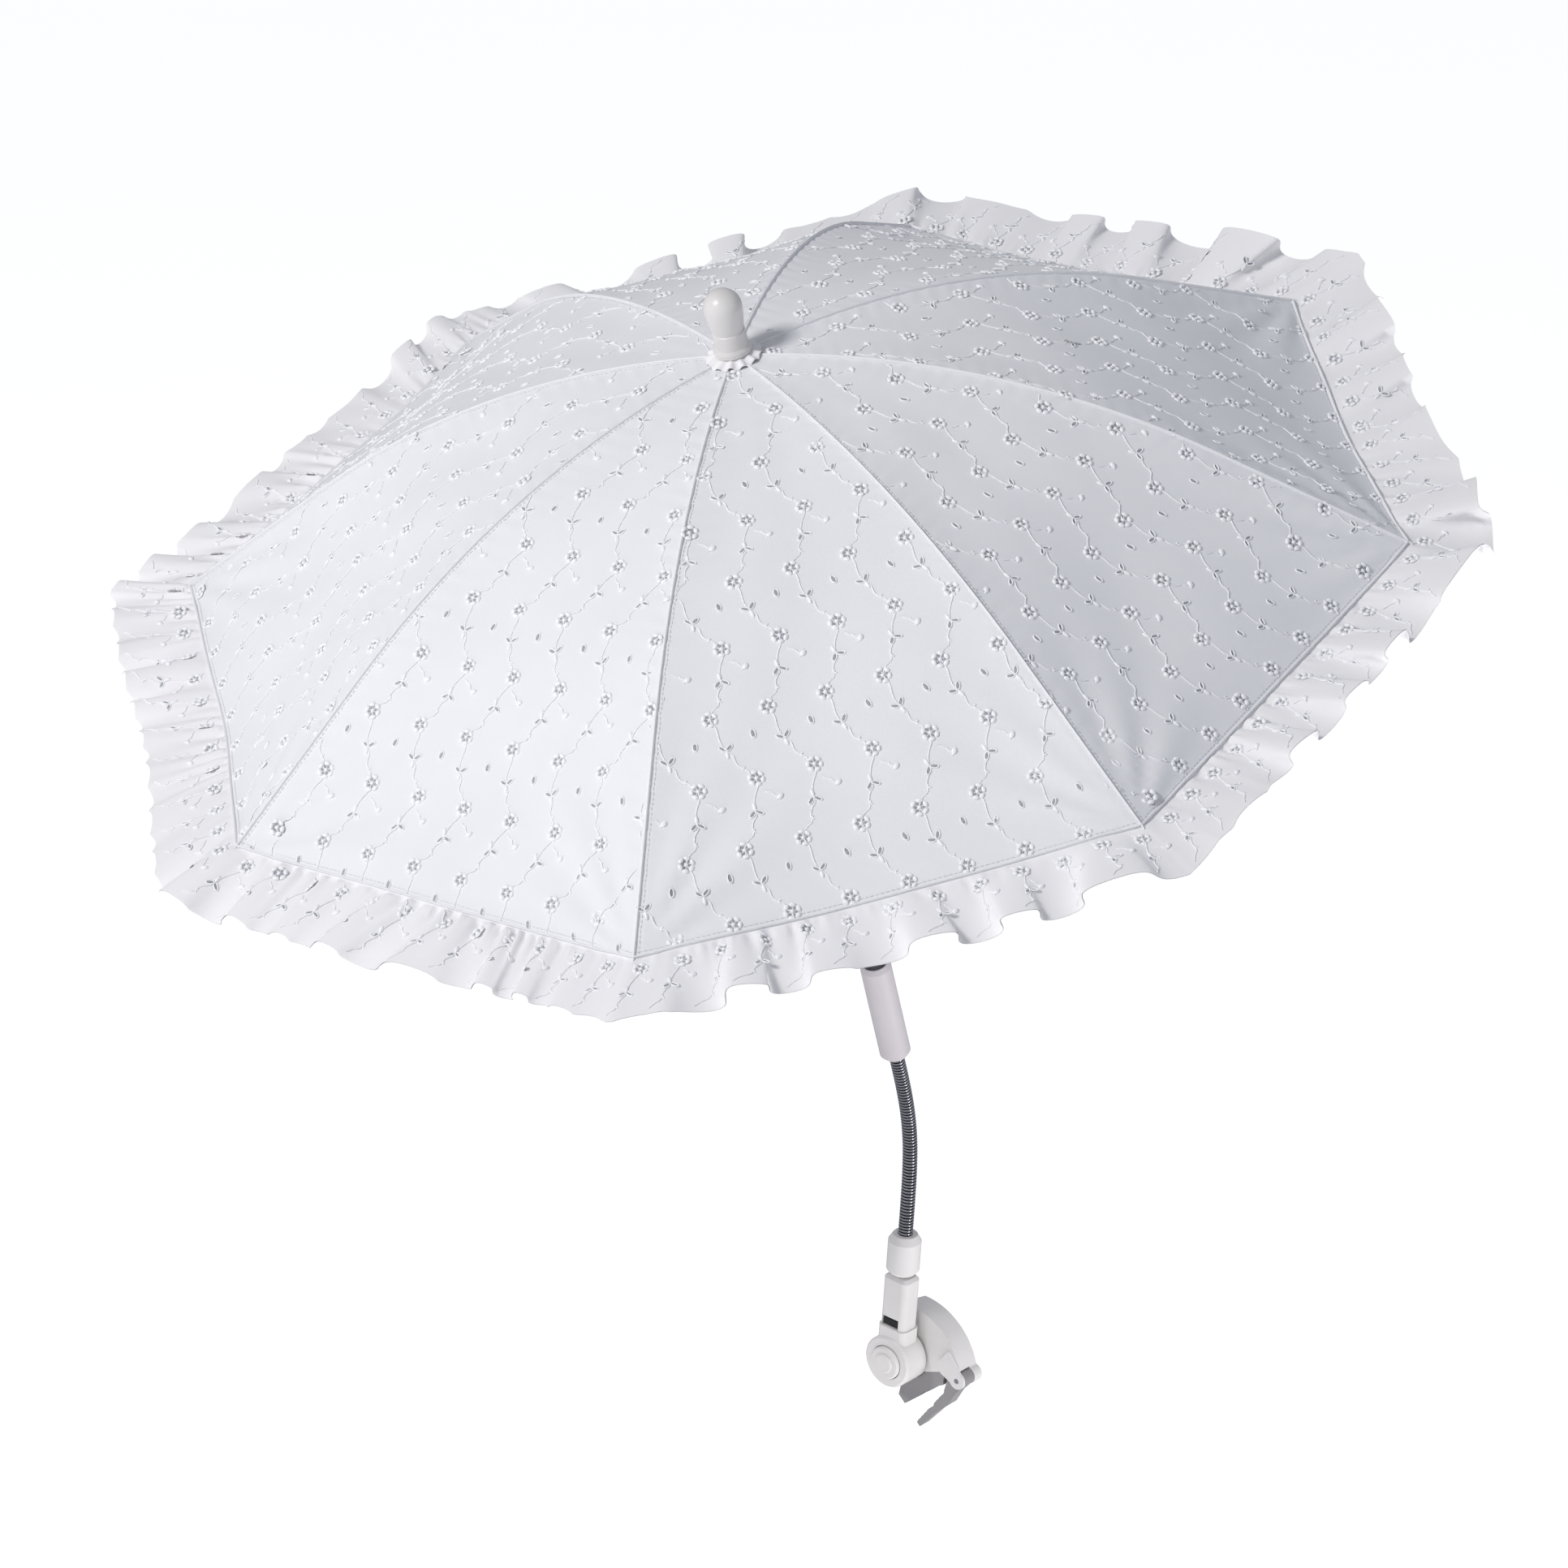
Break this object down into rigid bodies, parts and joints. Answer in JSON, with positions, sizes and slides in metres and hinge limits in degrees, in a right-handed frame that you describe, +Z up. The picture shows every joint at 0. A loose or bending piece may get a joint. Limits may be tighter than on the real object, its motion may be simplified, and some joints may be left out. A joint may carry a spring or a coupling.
{
  "type": "parasol",
  "caption": "Small frilled cloth parasol on a bendable neck, with folding ribs, a sliding runner, a tilting knuckle and a sprung clip for a pushchair tube.",
  "frame": {"origin": "middle of the tube seat between the clip's two jaws", "axes": "+Y along the gripped tube, towards the back of the clip; +Z up, the way the stem leaves the clip; the canopy leans towards -Y"},
  "size_m": [0.7185, 0.6869, 0.7124],
  "materials": {
    "cloth": "white woven cotton with eyelet embroidery",
    "white_plastic": "warm white moulded plastic, satin",
    "grey_grip": "grey moulded grip, matt",
    "black_plastic": "black, satin",
    "neck_chrome": "dark chromed ribbed tube",
    "shaft_steel": "plated steel, bright",
    "rib_steel": "plated spring steel"
  },
  "bodies": {
    "clip": {"clip_body": "white_plastic", "upper_grip": "grey_grip", "jaw_pin": "shaft_steel", "jaw_spring": "rib_steel", "tilt_axle": "shaft_steel"},
    "lower_jaw": {"lower_jaw": "grey_grip"},
    "knuckle": {"knuckle": "white_plastic", "button_spring": "rib_steel"},
    "push_button": {"push_button": "white_plastic"},
    "stem_latch": {"stem_latch": "black_plastic"},
    "collar": {"lower_collar": "white_plastic", "neck_root": "neck_chrome"},
    "neck_1": {"neck_link_1": "neck_chrome"},
    "neck_2": {"neck_link_2": "neck_chrome"},
    "neck_3": {"neck_link_3": "neck_chrome"},
    "neck_4": {"neck_link_4": "neck_chrome"},
    "neck_5": {"neck_link_5": "neck_chrome"},
    "neck_6": {"neck_link_6": "neck_chrome"},
    "canopy_shaft": {"neck_end": "neck_chrome", "sleeve": "white_plastic", "shaft": "shaft_steel", "catch_spring": "rib_steel", "crown": "white_plastic", "crown_wire": "rib_steel", "rosette": "cloth", "ferrule": "white_plastic"},
    "rib_1": {"rib_1": "rib_steel", "rib_tip_1": "white_plastic", "canopy_1": "cloth"},
    "rib_2": {"rib_2": "rib_steel", "rib_tip_2": "white_plastic", "canopy_2": "cloth"},
    "rib_3": {"rib_3": "rib_steel", "rib_tip_3": "white_plastic", "canopy_3": "cloth"},
    "rib_4": {"rib_4": "rib_steel", "rib_tip_4": "white_plastic", "canopy_4": "cloth"},
    "rib_5": {"rib_5": "rib_steel", "rib_tip_5": "white_plastic", "canopy_5": "cloth"},
    "rib_6": {"rib_6": "rib_steel", "rib_tip_6": "white_plastic", "canopy_6": "cloth"},
    "rib_7": {"rib_7": "rib_steel", "rib_tip_7": "white_plastic", "canopy_7": "cloth"},
    "rib_8": {"rib_8": "rib_steel", "rib_tip_8": "white_plastic", "canopy_8": "cloth"},
    "stretcher_1": {"stretcher_1": "rib_steel"},
    "stretcher_2": {"stretcher_2": "rib_steel"},
    "stretcher_3": {"stretcher_3": "rib_steel"},
    "stretcher_4": {"stretcher_4": "rib_steel"},
    "stretcher_5": {"stretcher_5": "rib_steel"},
    "stretcher_6": {"stretcher_6": "rib_steel"},
    "stretcher_7": {"stretcher_7": "rib_steel"},
    "stretcher_8": {"stretcher_8": "rib_steel"},
    "runner": {"runner": "white_plastic", "runner_wire": "rib_steel"}
  },
  "joints": [
    {"name": "jaw_open", "type": "hinge", "parent": "clip", "child": "lower_jaw", "pos_m": [0.0225, 0, 0.02], "axis": [0, -1, 0], "range_deg": [0, 40], "stiffness_Nm_per_rad": 0.3, "springref_deg": -28.65, "deforming": ["jaw_spring"]},
    {"name": "tilt", "type": "hinge", "parent": "clip", "child": "knuckle", "pos_m": [-0.015, -0.01335, 0.026], "axis": [0, 1, 0], "range_deg": [-90, 85]},
    {"name": "button_press", "type": "slide", "parent": "knuckle", "child": "push_button", "axis": [0, 1, 0], "range_m": [0, 0.0025], "stiffness_N_per_m": 900, "springref_m": -0.003, "deforming": ["button_spring"]},
    {"name": "latch_press", "type": "slide", "parent": "knuckle", "child": "stem_latch", "axis": [0, 1, 0], "range_m": [0, 0.0009], "stiffness_N_per_m": 500, "springref_m": -0.001},
    {"name": "stem_release", "type": "slide", "parent": "knuckle", "child": "collar", "axis": [0.0767, 0, 0.9971], "range_m": [0, 0.025]},
    {"name": "neck_bend_1", "type": "hinge", "parent": "collar", "child": "neck_1", "pos_m": [-0.00882, -0.01335, 0.10626], "axis": [1, 0, 0], "range_deg": [-12, 12]},
    {"name": "neck_bend_2", "type": "hinge", "parent": "neck_1", "child": "neck_2", "pos_m": [-0.00735, -0.01335, 0.12537], "axis": [0, 0.9999, 0.015], "range_deg": [-12, 12]},
    {"name": "neck_bend_3", "type": "hinge", "parent": "neck_2", "child": "neck_3", "pos_m": [-0.00596, -0.01364, 0.14449], "axis": [1, 0, 0], "range_deg": [-12, 12]},
    {"name": "neck_bend_4", "type": "hinge", "parent": "neck_3", "child": "neck_4", "pos_m": [-0.00481, -0.0149, 0.16358], "axis": [0, 0.9864, 0.1645], "range_deg": [-12, 12]},
    {"name": "neck_bend_5", "type": "hinge", "parent": "neck_4", "child": "neck_5", "pos_m": [-0.00416, -0.01805, 0.18247], "axis": [1, 0, 0], "range_deg": [-10, 10]},
    {"name": "neck_bend_6", "type": "hinge", "parent": "neck_5", "child": "neck_6", "pos_m": [-0.00395, -0.02289, 0.20102], "axis": [0, 0.9553, 0.2957], "range_deg": [-12, 12]},
    {"name": "neck_bend_7", "type": "hinge", "parent": "neck_6", "child": "canopy_shaft", "pos_m": [-0.00395, -0.02856, 0.21933], "axis": [1, 0, 0], "range_deg": [-10, 10]},
    {"name": "rib_fold_1", "type": "hinge", "parent": "canopy_shaft", "child": "rib_1", "pos_m": [-0.00044, -0.16918, 0.6493], "axis": [0.8988, 0.4188, 0.1296], "range_deg": [0, 66], "deforming": ["canopy_1", "catch_spring"]},
    {"name": "rib_fold_2", "type": "hinge", "parent": "canopy_shaft", "child": "rib_2", "pos_m": [0.00362, -0.1648, 0.65065], "axis": [0.3256, 0.9032, 0.2796], "range_deg": [0, 66], "deforming": ["canopy_2"]},
    {"name": "rib_fold_3", "type": "hinge", "parent": "canopy_shaft", "child": "rib_3", "pos_m": [0.00325, -0.15896, 0.65246], "axis": [-0.4384, 0.8586, 0.2658], "range_deg": [0, 66], "deforming": ["canopy_3"]},
    {"name": "rib_fold_4", "type": "hinge", "parent": "canopy_shaft", "child": "rib_4", "pos_m": [-0.00134, -0.15509, 0.65366], "axis": [-0.9455, 0.311, 0.0963], "range_deg": [0, 66], "deforming": ["canopy_4"]},
    {"name": "rib_fold_5", "type": "hinge", "parent": "canopy_shaft", "child": "rib_5", "pos_m": [-0.00745, -0.15545, 0.65355], "axis": [-0.8988, -0.4188, -0.1296], "range_deg": [0, 66], "deforming": ["canopy_5"]},
    {"name": "rib_fold_6", "type": "hinge", "parent": "canopy_shaft", "child": "rib_6", "pos_m": [-0.01151, -0.15983, 0.65219], "axis": [-0.3256, -0.9032, -0.2796], "range_deg": [0, 66], "deforming": ["canopy_6"]},
    {"name": "rib_fold_7", "type": "hinge", "parent": "canopy_shaft", "child": "rib_7", "pos_m": [-0.01114, -0.16567, 0.65039], "axis": [0.4384, -0.8586, -0.2658], "range_deg": [0, 66], "deforming": ["canopy_7"]},
    {"name": "rib_fold_8", "type": "hinge", "parent": "canopy_shaft", "child": "rib_8", "pos_m": [-0.00655, -0.16954, 0.64919], "axis": [0.9455, -0.311, -0.0963], "range_deg": [0, 66], "deforming": ["canopy_8"]},
    {"name": "stretcher_fold_1", "type": "hinge", "parent": "rib_1", "child": "stretcher_1", "pos_m": [0.07496, -0.3054, 0.56655], "axis": [0.8988, 0.4188, 0.1296], "range_deg": [-132, 0]},
    {"name": "stretcher_fold_2", "type": "hinge", "parent": "rib_2", "child": "stretcher_2", "pos_m": [0.16625, -0.20683, 0.59706], "axis": [0.3256, 0.9032, 0.2796], "range_deg": [-132, 0]},
    {"name": "stretcher_fold_3", "type": "hinge", "parent": "rib_3", "child": "stretcher_3", "pos_m": [0.15784, -0.07547, 0.63772], "axis": [-0.4384, 0.8586, 0.2658], "range_deg": [-132, 0]},
    {"name": "stretcher_fold_4", "type": "hinge", "parent": "rib_4", "child": "stretcher_4", "pos_m": [0.05466, 0.01173, 0.66472], "axis": [-0.9455, 0.311, 0.0963], "range_deg": [-132, 0]},
    {"name": "stretcher_fold_5", "type": "hinge", "parent": "rib_5", "child": "stretcher_5", "pos_m": [-0.08285, 0.0037, 0.66223], "axis": [-0.8988, -0.4188, -0.1296], "range_deg": [-132, 0]},
    {"name": "stretcher_fold_6", "type": "hinge", "parent": "rib_6", "child": "stretcher_6", "pos_m": [-0.17414, -0.09487, 0.63172], "axis": [-0.3256, -0.9032, -0.2796], "range_deg": [-132, 0]},
    {"name": "stretcher_fold_7", "type": "hinge", "parent": "rib_7", "child": "stretcher_7", "pos_m": [-0.16573, -0.22623, 0.59106], "axis": [0.4384, -0.8586, -0.2658], "range_deg": [-132, 0]},
    {"name": "stretcher_fold_8", "type": "hinge", "parent": "rib_8", "child": "stretcher_8", "pos_m": [-0.06255, -0.31343, 0.56406], "axis": [0.9455, -0.311, -0.0963], "range_deg": [-132, 0]},
    {"name": "runner_fold", "type": "hinge", "parent": "stretcher_1", "child": "runner", "pos_m": [-0.00044, -0.14626, 0.57523], "axis": [0.8988, 0.4188, 0.1296], "range_deg": [0, 66]}
  ],
  "couplings": [
    {"joint": "neck_bend_3", "follows": "neck_bend_1", "ratio": 1},
    {"joint": "neck_bend_7", "follows": "neck_bend_5", "ratio": 1},
    {"joint": "neck_bend_4", "follows": "neck_bend_2", "ratio": 1},
    {"joint": "neck_bend_6", "follows": "neck_bend_2", "ratio": 1},
    {"joint": "rib_fold_2", "follows": "rib_fold_1", "ratio": 1},
    {"joint": "rib_fold_3", "follows": "rib_fold_1", "ratio": 1},
    {"joint": "rib_fold_4", "follows": "rib_fold_1", "ratio": 1},
    {"joint": "rib_fold_5", "follows": "rib_fold_1", "ratio": 1},
    {"joint": "rib_fold_6", "follows": "rib_fold_1", "ratio": 1},
    {"joint": "rib_fold_7", "follows": "rib_fold_1", "ratio": 1},
    {"joint": "rib_fold_8", "follows": "rib_fold_1", "ratio": 1},
    {"joint": "stretcher_fold_1", "follows": "rib_fold_1", "ratio": -2},
    {"joint": "stretcher_fold_2", "follows": "rib_fold_1", "ratio": -2},
    {"joint": "stretcher_fold_3", "follows": "rib_fold_1", "ratio": -2},
    {"joint": "stretcher_fold_4", "follows": "rib_fold_1", "ratio": -2},
    {"joint": "stretcher_fold_5", "follows": "rib_fold_1", "ratio": -2},
    {"joint": "stretcher_fold_6", "follows": "rib_fold_1", "ratio": -2},
    {"joint": "stretcher_fold_7", "follows": "rib_fold_1", "ratio": -2},
    {"joint": "stretcher_fold_8", "follows": "rib_fold_1", "ratio": -2},
    {"joint": "runner_fold", "follows": "rib_fold_1", "ratio": 1}
  ]
}
